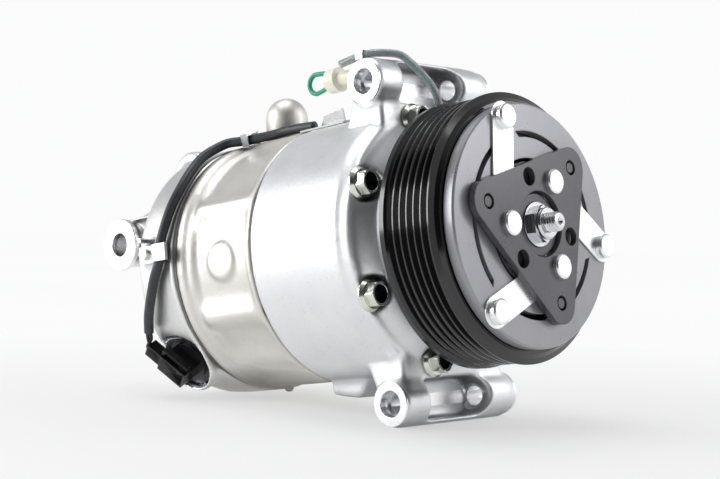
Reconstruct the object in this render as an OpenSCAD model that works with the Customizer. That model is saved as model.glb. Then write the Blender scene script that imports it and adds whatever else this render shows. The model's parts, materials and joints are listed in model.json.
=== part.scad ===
// Seven-piston swash-plate air conditioning compressor with an electromagnetic belt clutch.
// X runs along the shaft towards the clutch, Y points to the port side and Z is up. The origin is on
// the shaft axis, in the plane that holds the axes of the two front mounting lugs.

/* [Housing] */
// Outside radius of the cylindrical body
body_r = 57; // [56.5:0.5:58]
// Length of the front housing behind the front lugs
housing_len = 50.5; // [50:0.5:51]
// Length of the cylinder block
block_len = 48.5; // [48:0.5:49]
// Length of the rear head
head_len = 26.6; // [26:0.2:27]
// Number of through bolts, and of pistons
bolt_count = 7; // [7]
// Radius of the circle of through bolts
bolt_circle_r = 51.5; // [51.5]
// Across-flats size of the through bolt heads
bolt_hex = 10; // [9:0.5:10]

/* [Mounting lugs] */
// Height of each front lug bore above or below the shaft
lug_z = 66.14; // [66:0.01:67]
// Radius of the rear lug's bore and of the sleeve seats in the front lugs
lug_bore_r = 5.3; // [5.1:0.05:5.5]
// Radius of the bolt holes through the front lugs
lug_hole_r = 4.3; // [4.2:0.05:4.5]
// Radius of the flat ring around each front lug bore
lug_face_r = 9.2; // [9:0.1:10]
// Distance from the shaft to the near face of the front lugs
lug_near = 32.9; // [32:0.1:34]
// Distance from the shaft to the far face of the front lugs
lug_far = 38; // [37:0.1:39]

/* [Pulley and clutch] */
// Radius over the belt rib crests
pulley_r = 55; // [54:0.5:56]
// Pitch of the belt grooves
rib_pitch = 3.56; // [3.56]
// Number of belt grooves
rib_count = 6; // [6]
// Radius of the armature plate
armature_r = 49.4; // [49:0.1:50]
// Thickness of the armature plate
armature_t = 4.7; // [4.5:0.1:4.7]
// Air gap that the armature closes when the clutch pulls in
air_gap = 0.5; // [0.4:0.05:0.6]
// Radius of the nose tube that carries the pulley bearing
nose_r = 17.5; // [17.5]

/* [Pumping parts] */
// Radius of the circle of cylinder bores
bore_circle_r = 34; // [34]
// Radius of each cylinder bore
bore_r = 13; // [12.8:0.1:13]
// Radius of the shaft
shaft_r = 8; // [8]
// Radius of the swash plate
swash_r = 41.6; // [41:0.1:41.8]
// Thickness of the swash plate
swash_t = 7; // [7]

/* [Hidden] */

$fn = 64;
eps = 0.5; // overrun of every cutting shape
gap = 0.05; // radial clearance of a running fit

// stations along the shaft
seam_x = -housing_len;
block_rear_x = seam_x - block_len;
gasket_t = 1.4;
head_front_x = block_rear_x - gasket_t;
head_rear_x = head_front_x - head_len;
seat_x = 6; // seats of the through bolts
rim_x = seat_x + 0.3; // front edge of the outer wall
shoulder_x = 14; // front of the conical shoulder
coil_plate_t = 1.6;
coil_plate_x = shoulder_x + coil_plate_t;
nose_x = 46.2;
crankcase_x = -6; // front wall of the crankcase
crankcase_r = 46;

// clutch stations
groove_x0 = 25.07;
groove_depth = 2.6;
belt_end_x = groove_x0 + rib_pitch * rib_count;
pulley_rear_x = 21.75;
rotor_x = 50;
bearing_x0 = 23.2;
bearing_x1 = 43.2;
race_r = 27.5;
armature_x = rotor_x + air_gap;
leaf_x = armature_x + armature_t;
leaf_t = 1;
leaf_w = 13;
plate_x = leaf_x + leaf_t;
plate_t = 2.8;
plate_front_x = plate_x + plate_t;
corner_r = 32.9;
corner_round = 8.5;
corner_angle = 45.4;
inner_rivet_r = 19.8;
inner_rivet_angle = 60;
outer_rivet_r = 45;
outer_rivet_angle = 109;
puller_r = 19.5;

// pumping stations
swash_x = -37.5; // middle of the swash plate at rest
pivot_x = -30;
pivot_z = 15.5;
pivot_r = 2.5;
shoe_r = 8; // radius of the ball that a pair of shoes makes up
shoe_gap = 0.05;
piston_r = bore_r - gap;
crown_x = -94.3;
bridge_x = -24.5;
bolt_step = 360 / bolt_count;
bore_turn = bolt_step / 2;

// rear lug and ports
rear_lug = [-145.9, 15.7]; // x and z of the rear lug bore
rear_lug_y0 = -50;
rear_lug_y1 = -18;
port_y = 42; // plane of both port faces
discharge_port = [-85, 52]; // x and z
suction_port = [-122, 44];
valve_centre = [-114.6, -38.4, -40.4]; // middle of the control valve's cap
valve_turn = 207; // direction that the valve pocket opens, seen along the shaft
screw_at = [-115.6, 7.8]; // x and z of the cable clamp's screw
pin_at = [-115.8, 13.9]; // and of its locating pin

module xcyl(r, x0, x1) translate([x0, 0, 0]) rotate([0, 90, 0]) cylinder(r = r, h = x1 - x0);
module xcone(r0, r1, x0, x1) {
    translate([x0, 0, 0]) rotate([0, 90, 0]) cylinder(r1 = r0, r2 = r1, h = x1 - x0);
}
module ycyl(r, y0, y1) translate([0, y0, 0]) rotate([-90, 0, 0]) cylinder(r = r, h = y1 - y0);
module zcyl(r, z0, z1) translate([0, 0, z0]) cylinder(r = r, h = z1 - z0);

// moves children from the shaft axis to radius r at angle a, measured from +Y towards +Z
module at(r, a) translate([0, r * cos(a), r * sin(a)]) children();
module ring_of(count, r, a0) {
    for (k = [0 : count - 1]) at(r, a0 + k * 360 / count) children();
}
// the same, with the children turned so that their own +Y points away from the shaft
module around(count, a0) {
    for (k = [0 : count - 1]) rotate([a0 + k * 360 / count, 0, 0]) children();
}
// a tube about the shaft
module tube(r_in, r_out, x0, x1) {
    difference() {
        xcyl(r_out, x0, x1);
        xcyl(r_in, x0 - eps, x1 + eps);
    }
}
// a solid of revolution about the shaft, from [x, radius] points
module turned(points) {
    rotate([0, 90, 0]) rotate_extrude() polygon([for (p = points) [p[1], p[0]]]);
}
// a flat bar from point p to point q in the Y-Z plane, with round ends
module strip(p, q, w, x0, x1) {
    d = q - p;
    translate([x0, p[0], p[1]]) rotate([atan2(d[1], d[0]), 0, 0]) {
        xcyl(w / 2, 0, x1 - x0);
        translate([0, 0, -w / 2]) cube([x1 - x0, norm(d), w]);
        translate([0, norm(d), 0]) xcyl(w / 2, 0, x1 - x0);
    }
}
function polar(r, a) = [r * cos(a), r * sin(a)];

/* ---- castings ---- */

lug_tube_r = 10.2;
pocket_y = 18;
pocket_r = 8.2;
// a front lug on the +Z side, before its bore is cut
module front_lug() {
    translate([0, 0, lug_z]) {
        ycyl(lug_tube_r, -lug_near + 1.8, lug_far - 5);
        translate([0, lug_far - 5, 0]) rotate([-90, 0, 0]) {
            cylinder(r1 = lug_tube_r, r2 = lug_face_r, h = 3.5);
        }
        ycyl(lug_face_r, -lug_near, lug_far);
    }
    // web down to the body, and the thickened upper edge of the pocket
    translate([0, lug_far - 5, 0]) rotate([90, 0, 0]) linear_extrude(lug_near + lug_far - 8) {
        polygon([[-lug_tube_r, lug_z], [-lug_tube_r, 61], [-14.5, 50], [-14.5, 35], [rim_x - 0.1, 35],
            [rim_x - 0.1, lug_z]]);
    }
    translate([0, -pocket_y - 1, lug_z]) cube([rim_x - 0.1, 2 * pocket_y + 10, 9.4]);
}
// the lug's bore, and its pocket that opens to the front and is round at the far end
module front_lug_cut() {
    translate([0, 0, lug_z]) {
        ycyl(lug_bore_r, -lug_near - eps, -pocket_y + 4);
        ycyl(lug_hole_r, -pocket_y, lug_far + eps);
    }
    translate([-5, 0, lug_z - 0.6]) rotate([0, 90, 0]) {
        translate([0, pocket_y - pocket_r + 2, 0]) cylinder(r = pocket_r, h = 30);
        translate([-pocket_r, -pocket_y, 0]) cube([2 * pocket_r, 2 * pocket_y - pocket_r + 2, 30]);
    }
}

module front_housing() {
    color("gainsboro") difference() {
        union() {
            xcyl(body_r, seam_x, 0);
            xcone(body_r, body_r - 1.2, 0, 1.5);
            xcyl(body_r - 1.5, 1.4, rim_x);
            xcone(bolt_circle_r + 1.5, 43.5, seat_x, shoulder_x);
            xcyl(nose_r, shoulder_x, nose_x);
            xcyl(nose_r + 2, shoulder_x - eps, coil_plate_x + 2.4);
            front_lug();
            mirror([0, 0, 1]) front_lug();
            // cast foot under the crankcase
            translate([0, 14, 0]) rotate([90, 0, 0]) linear_extrude(29) {
                polygon([[-50.5, -50], [-49.6, -60.5], [-47, -61.8], [-35, -63.4], [-31.5, -62], [-27, -54]]);
            }
        }
        front_lug_cut();
        mirror([0, 0, 1]) front_lug_cut();
        translate([0, -25, 71.4]) xcyl(3.05, -20, -8);
        xcyl(crankcase_r, seam_x - eps, crankcase_x);
        xcyl(11.5, crankcase_x - eps, 12);
        xcyl(14, 11.5, nose_x + eps);
        tube(nose_r - 0.8, nose_r + 5, bearing_x1 + 0.1, bearing_x1 + 1.5);
        tube(nose_r + 1, nose_r + 5, coil_plate_x, coil_plate_x + 1.4);
        tube(13.9, 15.2, 28.5, 29.8);
        ring_of(bolt_count, bolt_circle_r, 0) {
            xcyl(3.3, seam_x - eps, seat_x + eps);
            xcyl(7.6, seat_x, shoulder_x + eps);
        }
        // groove for the ring seal against the cylinder block
        tube(46.9, 47.9, seam_x - eps, seam_x + 1.8);
    }
}

pad_floor_r = 53.4;
pad_x0 = -90;
pad_x1 = seam_x - 3;
// a casting recess between two through bolts, with a sloping rear wall
module side_pad(a) {
    rotate([a, 0, 0]) translate([0, 0, -12]) linear_extrude(24) {
        polygon([[pad_x0 - 3.5, body_r + 2], [pad_x0 - 3.5, body_r - 0.6], [pad_x0 + 3, pad_floor_r],
            [pad_x1 - 1.5, pad_floor_r], [pad_x1, pad_floor_r + 1.5], [pad_x1, body_r + 2]]);
    }
}
// a boss that faces the port side, with a round near end
module port_boss(p, r, y0) {
    translate([p[0], 0, p[1]]) ycyl(r, y0, port_y);
}

module cylinder_block() {
    color("gainsboro") difference() {
        union() {
            difference() {
                xcyl(body_r - 0.6, block_rear_x, seam_x);
                for (k = [1 : 6]) side_pad(bore_turn + k * bolt_step);
            }
            // blank round boss in the side recess, and the ring at the gasket
            rotate([180, 0, 0]) translate([-72.5, 0, 0]) ycyl(8.4, 50, pad_floor_r + 1.1);
            xcyl(body_r, block_rear_x, block_rear_x + 5);
            translate([-87, -5, 0]) zcyl(2.6, -58.7, -50);
            // discharge boss with its dome-topped muffler
            port_boss(discharge_port, 12, 5);
            translate([discharge_port[0], 5, 0]) {
                zcyl(10, 45, 67.5);
                translate([0, 0, 67.5]) sphere(r = 10);
            }
            translate([discharge_port[0], 20, 44]) cube([24.5, port_y - 20, 16]);
        }
        ring_of(bolt_count, bolt_circle_r, 0) xcyl(3.3, block_rear_x - eps, seam_x + eps);
        around(bolt_count, bore_turn) translate([0, bore_circle_r, 0]) {
            xcyl(bore_r, block_rear_x - eps, seam_x + eps);
        }
        xcyl(11, seam_x - 18, seam_x + eps);
        xcyl(8.6, block_rear_x + 8, seam_x - 17);
        translate([discharge_port[0], 0, discharge_port[1]]) ycyl(7.5, 24, port_y + eps);
        translate([discharge_port[0] + 17, 0, 52]) ycyl(3.3, 29, port_y + eps);
    }
}

// places children on the control valve's axis: +Y points out of the pocket, 0 is the cap's outside
module on_valve() {
    translate(valve_centre) rotate([valve_turn, 0, 0]) children();
}
module rear_head() {
    color("gainsboro") difference() {
        union() {
            xcyl(body_r, head_rear_x + 2.5, head_front_x);
            xcone(body_r - 3.5, body_r, head_rear_x, head_rear_x + 2.6);
            // rear lug: face ring, flared neck and web
            translate([rear_lug[0], 0, rear_lug[1]]) {
                ycyl(12, rear_lug_y0, rear_lug_y0 + 2.5);
                ycyl(10.6, rear_lug_y0 + 2, rear_lug_y1);
            }
            translate([rear_lug[0], rear_lug_y0 + 7, rear_lug[1] - 10.6]) cube([26, 24, 21.2]);
            on_valve() ycyl(15, -34, 3.5);
            port_boss(suction_port, 13, -25);
            translate([suction_port[0] - 1, 24, 21]) cube([21.5, port_y - 24, 17]);
            // seat of the cable clamp
            translate([screw_at[0], 0, screw_at[1]]) ycyl(4.4, -58.6, -45);
        }
        translate([rear_lug[0], 0, rear_lug[1]]) ycyl(lug_bore_r, rear_lug_y0 - eps, rear_lug_y1 + eps);
        ring_of(bolt_count, bolt_circle_r, 0) xcyl(3, head_front_x - 12, head_front_x + eps);
        xcyl(90, head_front_x, head_front_x + 4);
        // recess for the valve plate, discharge chamber and suction chamber
        xcyl(48.1, head_front_x - 2.4, head_front_x + eps);
        xcyl(24, head_front_x - 16, head_front_x);
        tube(28, 44.5, head_front_x - 9, head_front_x);
        on_valve() {
            ycyl(10.3, -33, 1);
            ycyl(12.9, -6.5, 5);
        }
        translate([suction_port[0], 0, suction_port[1]]) ycyl(9, 10, port_y + eps);
        translate([suction_port[0] + 8, 0, 28.5]) ycyl(3.3, 32, port_y + eps);
        // flat of the suction port across the round of the head
        translate([head_rear_x - 9, port_y, 18]) cube([31.5, 30, 42]);
        // holes of the clamp screw, the locating pin and the relief valve
        translate([screw_at[0], 0, screw_at[1]]) ycyl(1.6, -59, -48);
        translate([pin_at[0], 0, pin_at[1]]) ycyl(1.3, -60, -49);
        translate([head_rear_x, 0, -20]) xcyl(4, -eps, 9.5);
    }
}

/* ---- sealing and valve parts ---- */

module block_oring() {
    color("dimgray") translate([seam_x + 0.9, 0, 0]) rotate([0, 90, 0]) {
        rotate_extrude() translate([47.4, 0]) circle(r = 0.5);
    }
}
module head_gasket() {
    color("dimgray") difference() {
        xcyl(body_r - 0.7, head_front_x, block_rear_x);
        around(bolt_count, bore_turn) translate([0, bore_circle_r, 0]) {
            xcyl(bore_r + 0.3, head_front_x - eps, block_rear_x + eps);
        }
        ring_of(bolt_count, bolt_circle_r, 0) xcyl(3.3, head_front_x - eps, block_rear_x + eps);
        xcyl(8.6, head_front_x - eps, block_rear_x + eps);
    }
}
module valve_plate() {
    color("slategray") difference() {
        xcyl(47.5, head_front_x - 2, head_front_x);
        around(bolt_count, bore_turn) {
            translate([0, 21, 0]) xcyl(2.6, head_front_x - 3, head_front_x + eps);
            translate([0, 38, 0]) xcyl(3.4, head_front_x - 3, head_front_x + eps);
        }
        ring_of(bolt_count, bolt_circle_r, 0) xcyl(4.2, head_front_x - 3, head_front_x + eps);
    }
}
module discharge_reeds() {
    color("lightsteelblue") {
        xcyl(8, head_front_x - 2.5, head_front_x - 2);
        around(bolt_count, bore_turn) {
            translate([head_front_x - 2.5, 6, -2.5]) cube([0.5, 15, 5]);
            translate([0, 20.4, 0]) xcyl(3.4, head_front_x - 2.5, head_front_x - 2);
        }
    }
}

module housing_bolts() {
    cup_r = 3.9;
    color("darkkhaki") ring_of(bolt_count, bolt_circle_r, 0) difference() {
        union() {
            xcyl(2.95, head_front_x - 11, seat_x + 1);
            xcyl(6.8, seat_x, seat_x + 1.5);
            xcone(6.2, 5.4, seat_x + 1.5, seat_x + 2.4);
            translate([seat_x + 1, 0, 0]) rotate([0, 90, 0]) {
                cylinder(r = bolt_hex / 2 / cos(30), h = 6, $fn = 6);
            }
        }
        xcyl(cup_r, seat_x + 4.2, seat_x + 8);
    }
}
module lug_sleeve(z) {
    translate([0, 0, z]) difference() {
        ycyl(lug_bore_r, -lug_near + 5.2, -lug_near + 12.4);
        ycyl(lug_hole_r, -lug_near + 4, -lug_near + 13);
    }
}
module lug_sleeves() {
    color("silver") {
        lug_sleeve(lug_z);
        lug_sleeve(-lug_z);
    }
}

/* ---- clutch: fixed parts ---- */

module coil_shell() {
    color("slategray") difference() {
        turned([[shoulder_x, nose_r + 2], [shoulder_x, 47.4], [40.6, 47.4], [40.6, 45.9], [17, 45.9],
            [17, 34], [40.6, 34], [40.6, 32.4], [17, 32.4], [coil_plate_x, 31], [coil_plate_x, nose_r + 2]]);
        // gap in the shell for the leads
        rotate([100, 0, 0]) translate([13, 44, -4]) cube([4.4, 6, 8]);
    }
}
module field_coil() {
    color("saddlebrown") tube(34, 45.9, 17, 39.8);
}
module snap_ring(r_in, r_out, x, t, a, c) {
    color(c) difference() {
        union() {
            tube(r_in, r_out, x, x + t);
            rotate([a, 0, 0]) for (s = [-1, 1]) translate([0, r_out, s * 4]) xcyl(2, x, x + t);
        }
        rotate([a, 0, 0]) {
            translate([x - eps, 0, -2]) cube([t + 1, r_out + 6, 4]);
            for (s = [-1, 1]) translate([0, r_out, s * 4]) xcyl(0.9, x - eps, x + t + eps);
        }
    }
}
module coil_snap_ring() {
    snap_ring(nose_r + 1.05, nose_r + 4.5, coil_plate_x + 0.02, 1.3, 0, "dimgray");
}
module bearing_snap_ring() {
    snap_ring(nose_r - 0.75, nose_r + 2.4, bearing_x1 + 0.12, 1.3, 0, "dimgray");
}

ball_r = 3.4;
ball_circle_r = 22.5;
ball_count = 13;
module ball_track(x, clearance) {
    translate([x, 0, 0]) rotate([0, 90, 0]) rotate_extrude() {
        translate([ball_circle_r, 0]) circle(r = ball_r + clearance);
    }
}
track_x = [bearing_x0 + 5.6, bearing_x1 - 5.6];
module bearing_inner_race() {
    color("silver") difference() {
        tube(nose_r, 21, bearing_x0, bearing_x1);
        for (x = track_x) ball_track(x, gap);
    }
}
module bearing_outer_race() {
    color("silver") difference() {
        tube(24, race_r, bearing_x0, bearing_x1);
        for (x = track_x) ball_track(x, gap);
    }
}
module bearing_seals() {
    color("black") {
        tube(21.2, 24, bearing_x0 + 0.4, bearing_x0 + 1.2);
        tube(21.2, 24, bearing_x1 - 1.2, bearing_x1 - 0.4);
    }
}
module bearing_balls() {
    color("lightgray") for (x = track_x) ring_of(ball_count, ball_circle_r, 0) {
        translate([x, 0, 0]) sphere(r = ball_r);
    }
}
module bearing_cage() {
    color("tan") difference() {
        tube(ball_circle_r - 0.6, ball_circle_r + 0.6, track_x[0] - 3.9, track_x[1] + 3.9);
        for (x = track_x) around(ball_count, 0) translate([x, 0, 0]) ycyl(ball_r + 2 * gap, 18, 27);
    }
}

/* ---- shaft bearings and seal ---- */

module shaft_seal() {
    color("black") difference() {
        union() {
            xcyl(14, 20, 26);
            xcyl(12.4, 26, 28.5);
        }
        xcyl(shaft_r + gap, 19, 30);
    }
}
module seal_snap_ring() {
    color("dimgray") difference() {
        tube(10.6, 15.1, 28.55, 29.75);
        translate([28, 0, -2]) cube([3, 20, 4]);
    }
}
module front_shaft_bearing() {
    color("silver") tube(shaft_r + gap, 11.5, crankcase_x, 11);
}
module rear_shaft_bearing() {
    color("silver") tube(shaft_r + gap, 11, seam_x - 18, seam_x - 2.2);
}
module front_thrust_bearing() {
    color("silver") tube(shaft_r + 0.5, 19, crankcase_x - 2, crankcase_x);
}
module rear_thrust_bearing() {
    color("silver") tube(shaft_r + 0.5, 13, seam_x, seam_x + 2);
}

/* ---- pumping parts ---- */

module piston() {
    difference() {
        translate([0, bore_circle_r, 0]) xcyl(piston_r, crown_x, bridge_x);
        // hollow, and the opening that straddles the swash plate rim
        translate([0, bore_circle_r, 0]) xcyl(piston_r - 2.5, crown_x + 4, -53);
        xcyl(swash_r + 1, swash_x - 5.5, swash_x + 5.5);
        translate([swash_x, bore_circle_r, 0]) sphere(r = shoe_r + gap);
        tube(45.4, 60, -51, bridge_x + eps);
        xcyl(24, -50, bridge_x + eps);
    }
}
module pistons() {
    color("lightgray") around(bolt_count, bore_turn) piston();
}
module piston_shoes() {
    half = swash_t / 2 + shoe_gap;
    color("darkgray") around(bolt_count, bore_turn) translate([swash_x, bore_circle_r, 0]) {
        difference() {
            sphere(r = shoe_r);
            translate([-half, -10, -10]) cube([2 * half, 20, 20]);
        }
    }
}
module shaft() {
    color("silver") difference() {
        union() {
            xcyl(shaft_r, -88, 34);
            xcyl(7, 34, 55.8);
            xcyl(3.95, 55, 68.25);
        }
        tube(shaft_r - 0.8, shaft_r + 2, -46.2, -44.8);
        xcone(0.1, 1.6, 66.8, 68.3);
    }
}
module stop_ring() {
    color("dimgray") difference() {
        tube(shaft_r - 0.75, 10.5, -46.1, -44.9);
        translate([-47, 0, -2]) cube([3, 20, 4]);
    }
}
module lug_ear(r) {
    translate([pivot_x, 0, pivot_z]) ycyl(r, -8, 8);
    translate([pivot_x, -8, pivot_z - r]) cube([-14 - pivot_x, 16, 2 * r]);
}
module lug_plate() {
    color("darkgray") difference() {
        union() {
            xcyl(22, -14, crankcase_x - 2);
            lug_ear(3.7);
        }
        xcyl(shaft_r, -16, -7);
        translate([pivot_x - 8, -4.2, 9]) cube([21, 8.4, 14]);
        translate([pivot_x, 0, pivot_z]) ycyl(pivot_r, -9, 9);
    }
}
module swash_plate() {
    color("gray") difference() {
        union() {
            xcyl(swash_r, swash_x - swash_t / 2, swash_x + swash_t / 2);
            translate([pivot_x, 0, pivot_z]) ycyl(3.7, -4, 4);
            translate([swash_x, -4, pivot_z - 3.7]) cube([pivot_x - swash_x, 8, 7.4]);
        }
        xcyl(shaft_r, swash_x - 8, swash_x + 3.6);
        translate([pivot_x, 0, pivot_z]) ycyl(pivot_r, -9, 9);
    }
}
module hinge_pin() {
    color("silver") translate([pivot_x, 0, pivot_z]) ycyl(pivot_r, -8, 8);
}

/* ---- rotating clutch parts ---- */

groove_points = [for (k = [0 : rib_count - 1], p = [0 : 3])
    [groove_x0 + k * rib_pitch + [0.35, 1.6, 1.96, 3.21][p],
        pulley_r - 0.8 - [0, groove_depth, groove_depth, 0][p]]];
module pulley() {
    color("black") difference() {
        turned(concat(
            [[pulley_rear_x, 48.6], [pulley_rear_x, pulley_r - 0.6], [pulley_rear_x + 0.6, pulley_r],
                [groove_x0 - 0.5, pulley_r]],
            groove_points,
            [[belt_end_x + 0.4, pulley_r], [belt_end_x + 1.2, pulley_r], [belt_end_x + 2.2, 52.6],
                [rotor_x - 0.4, 51.4], [rotor_x, 50.9], [rotor_x, 26], [rotor_x - 4, 26],
                [bearing_x1, 26], [bearing_x1, race_r], [bearing_x0 - 0.8, race_r],
                [bearing_x0 - 0.8, 31.2], [42.6, 31.2], [42.6, 48.6]]));
        // magnetic slots in the friction face
        for (k = [0 : 2]) intersection() {
            tube(39, 41.4, rotor_x - 6, rotor_x + eps);
            rotate([k * 120 + 20, 0, 0]) translate([rotor_x - 8, 0, 2]) cube([10, 60, 60]);
        }
    }
}
module clutch_hub() {
    color("dimgray") difference() {
        union() {
            xcyl(12.4, 36, 57);
            xcyl(25.6, leaf_x - 3.2, leaf_x);
        }
        xcyl(7, 35, 56.5);
        xcyl(9.2, 56, 58);
        ring_of(3, inner_rivet_r, inner_rivet_angle) xcyl(2.6, 50, 56);
    }
}
module gap_shim() {
    color("silver") tube(7.05, 8, 34, 36);
}
module leaf_springs() {
    color("whitesmoke") for (k = [0 : 2]) difference() {
        strip(polar(inner_rivet_r, 180 + k * 120), polar(outer_rivet_r, outer_rivet_angle + k * 120),
            leaf_w, leaf_x, leaf_x + leaf_t);
        at(inner_rivet_r, 180 + k * 120) xcyl(2.6, leaf_x - eps, leaf_x + leaf_t + eps);
        at(outer_rivet_r, outer_rivet_angle + k * 120) xcyl(2.6, leaf_x - eps, leaf_x + leaf_t + eps);
    }
}
module hub_plate() {
    corners = [for (k = [0 : 2]) polar(corner_r, corner_angle + k * 120)];
    // straight sides touch the corner circles
    sides = [for (k = [0 : 2], s = [0, 1])
        corners[(k + s) % 3] + polar(corner_round, corner_angle + 60 + k * 120)];
    color("slategray") difference() {
        translate([plate_x, 0, 0]) rotate([90, 0, 90]) linear_extrude(plate_t) {
            polygon(sides);
            for (c = corners) translate(c) circle(r = corner_round);
        }
        xcyl(13.3, plate_x - eps, plate_front_x + eps);
        ring_of(3, corner_r, corner_angle) xcyl(3.1, plate_x - eps, plate_front_x + eps);
        ring_of(3, puller_r, inner_rivet_angle + corner_angle) xcyl(3.75, plate_x - eps, plate_front_x + eps);
        ring_of(3, inner_rivet_r, inner_rivet_angle) xcyl(2.6, plate_x - eps, plate_front_x + eps);
    }
}
module inner_rivets() {
    color("white") ring_of(3, inner_rivet_r, inner_rivet_angle) {
        xcyl(2.6, leaf_x - 3.2, plate_front_x + 1);
        xcyl(5.05, plate_front_x, plate_front_x + 1.7);
        xcone(5.05, 4.3, plate_front_x + 1.7, plate_front_x + 2.3);
    }
}
module outer_rivets() {
    color("white") ring_of(3, outer_rivet_r, outer_rivet_angle) {
        xcyl(2.6, armature_x + 0.6, plate_x + 1);
        xcyl(5.1, plate_x, plate_x + 2.4);
        xcone(5.1, 4.3, plate_x + 2.4, plate_x + 3);
    }
}
module armature() {
    color("dimgray") difference() {
        turned([[armature_x, 27], [armature_x, armature_r], [leaf_x - 0.7, armature_r],
            [leaf_x, armature_r - 0.7], [leaf_x, 27]]);
        // three arc slots that steer the magnetic flux
        for (k = [0 : 2]) rotate([corner_angle + k * 120, 0, 0]) intersection() {
            tube(35.5, 38, armature_x - eps, leaf_x + eps);
            translate([armature_x - eps, 22, -31]) cube([8, 30, 62]);
        }
        ring_of(3, outer_rivet_r, outer_rivet_angle) xcyl(2.6, armature_x - eps, leaf_x + eps);
        ring_of(3, corner_r, corner_angle) xcyl(2.1, armature_x - eps, leaf_x + eps);
    }
}
module stop_pins() {
    color("silver") ring_of(3, corner_r, corner_angle) {
        xcyl(2.1, armature_x + 0.6, plate_front_x - 0.4);
    }
}
module shaft_nut() {
    color("white") difference() {
        union() {
            translate([57.6, 0, 0]) rotate([0, 90, 0]) cylinder(r = 6.5 / cos(30), h = 3.2, $fn = 6);
            xcyl(6.5, 60.7, 62.2);
            xcone(6.5, 5.8, 62.2, 62.9);
        }
        xcyl(3.95, 57, 64);
    }
}
module nut_washer() {
    color("white") tube(3.95, 9, 56, 57.6);
}

/* ---- control valve, cable and leads ---- */

cap_r = 11.8;
module control_valve() {
    color("black") on_valve() difference() {
        union() {
            ycyl(10.2, -31, -6.5);
            ycyl(cap_r, -6.5, 0);
            ycyl(cap_r - 3, -1, 1.2);
            ycyl(12.8, -6.5, -4.6);
            // socket that carries the plug
            on_plug() translate([-3, -9.4, -4.2]) cube([14, 5.4, 8.4]);
        }
        ycyl(4.1, -32, -15);
    }
}
module valve_snap_ring() {
    color("dimgray") on_valve() difference() {
        ycyl(12.85, -4.5, -3.4);
        ycyl(cap_r + 0.05, -5, -3);
        translate([-2, -5, 0]) cube([4, 3, 20]);
    }
}
module valve_spool() {
    color("silver") on_valve() {
        ycyl(4, -28, -17);
        ycyl(2.4, -30.5, -28);
    }
}
// places children at the middle of the plug: +X runs along it, away from the cable
module on_plug() {
    translate([-4, 9, -4]) rotate([0, -49.5, 0]) children();
}
module valve_connector() {
    color("black") on_valve() on_plug() {
        translate([-3, -3.95, -4.2]) cube([14.2, 7.2, 8.4]);
        translate([-11.6, -3, -3.1]) cube([9, 5.4, 6.2]);
        // latch
        translate([-4, -1.6, -6.8]) cube([14.5, 3.2, 1.5]);
        translate([6, -1.6, -5.6]) cube([3, 3.2, 2]);
    }
}

// a round cable through a list of points
module run(points, r) {
    for (k = [0 : len(points) - 2]) hull() {
        translate(points[k]) sphere(r = r, $fn = cable_facets);
        translate(points[k + 1]) sphere(r = r, $fn = cable_facets);
    }
}
cable_facets = 16;
clip_x = -92.6;
cable_r = 2.2;
cable_path_r = body_r + cable_r + 0.6;
// x and angle of the stretch that follows the body
cable_arc = [[-110.7, 184], [-106.4, 177], [-105.6, 168.5], [-104.2, 161], [-103, 151.6],
    [-101.9, 142], [-102.7, 131.7], [-105, 120]];
cable_points = concat(
    [[-122.6, -55, -26.8], [-117.4, -58.3, -17.8]],
    [for (c = cable_arc) concat([c[0]], polar(cable_path_r, c[1]))],
    [[-102, -19.5, 57.2], [-96.5, -15.6, 57.8], [clip_x - 0.6, -14.2, 57.65], [clip_x + 4.6, -13.3, 57.85],
        [-79, -9.6, 58.5], [-73, -8, 59.2], [-64, -7.5, 59], [-54.5, -7.5, 58.4]]);
module valve_cable() {
    color("dimgray") run(cable_points, cable_r);
}
clamp_z = 3.6;
clamp_h = 7.6;
clamp_x = -106;
clamp_r = cable_r + 0.95;
module cable_clamp() {
    color("white") difference() {
        union() {
            // bend around the cable, then the cover plate with its lip
            translate([clamp_x, -cable_path_r, 0]) difference() {
                intersection() {
                    zcyl(clamp_r, clamp_z, clamp_z + clamp_h);
                    translate([-4, -4, clamp_z - 1]) cube([4, 5.2, clamp_h + 2]);
                }
                zcyl(clamp_r - 0.5, clamp_z - eps, clamp_z + clamp_h + eps);
            }
            translate([clamp_x - 0.1, -cable_path_r - clamp_r, clamp_z]) cube([8.1, 0.5, clamp_h]);
            translate([clamp_x + 7.5, -cable_path_r - clamp_r, clamp_z]) cube([0.5, 1.5, clamp_h]);
            translate([screw_at[0] - 4.4, -59.4, clamp_z]) {
                cube([clamp_x - 2.8 - screw_at[0] + 4.4, 0.8, clamp_h]);
            }
        }
        translate([screw_at[0], 0, screw_at[1]]) ycyl(1.6, -62, -58);
    }
}
module clamp_screw() {
    color("khaki") translate([screw_at[0], 0, screw_at[1]]) {
        ycyl(1.55, -60, -49);
        ycyl(2.7, -61.2, -59.4);
    }
}
module locating_pin() {
    color("silver") translate([pin_at[0], 0, pin_at[1]]) ycyl(1.25, -62.4, -50);
}
// a loop that stands on the block and holds the cable
module cable_clip() {
    color("silver") rotate([103.4, 0, 0]) translate([clip_x, body_r - 0.6, -3.9]) difference() {
        cube([4, 6.2, 7.8]);
        translate([-eps, 0.5, 0.7]) cube([4 + 2 * eps, 5.1, 6.4]);
    }
}
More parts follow.
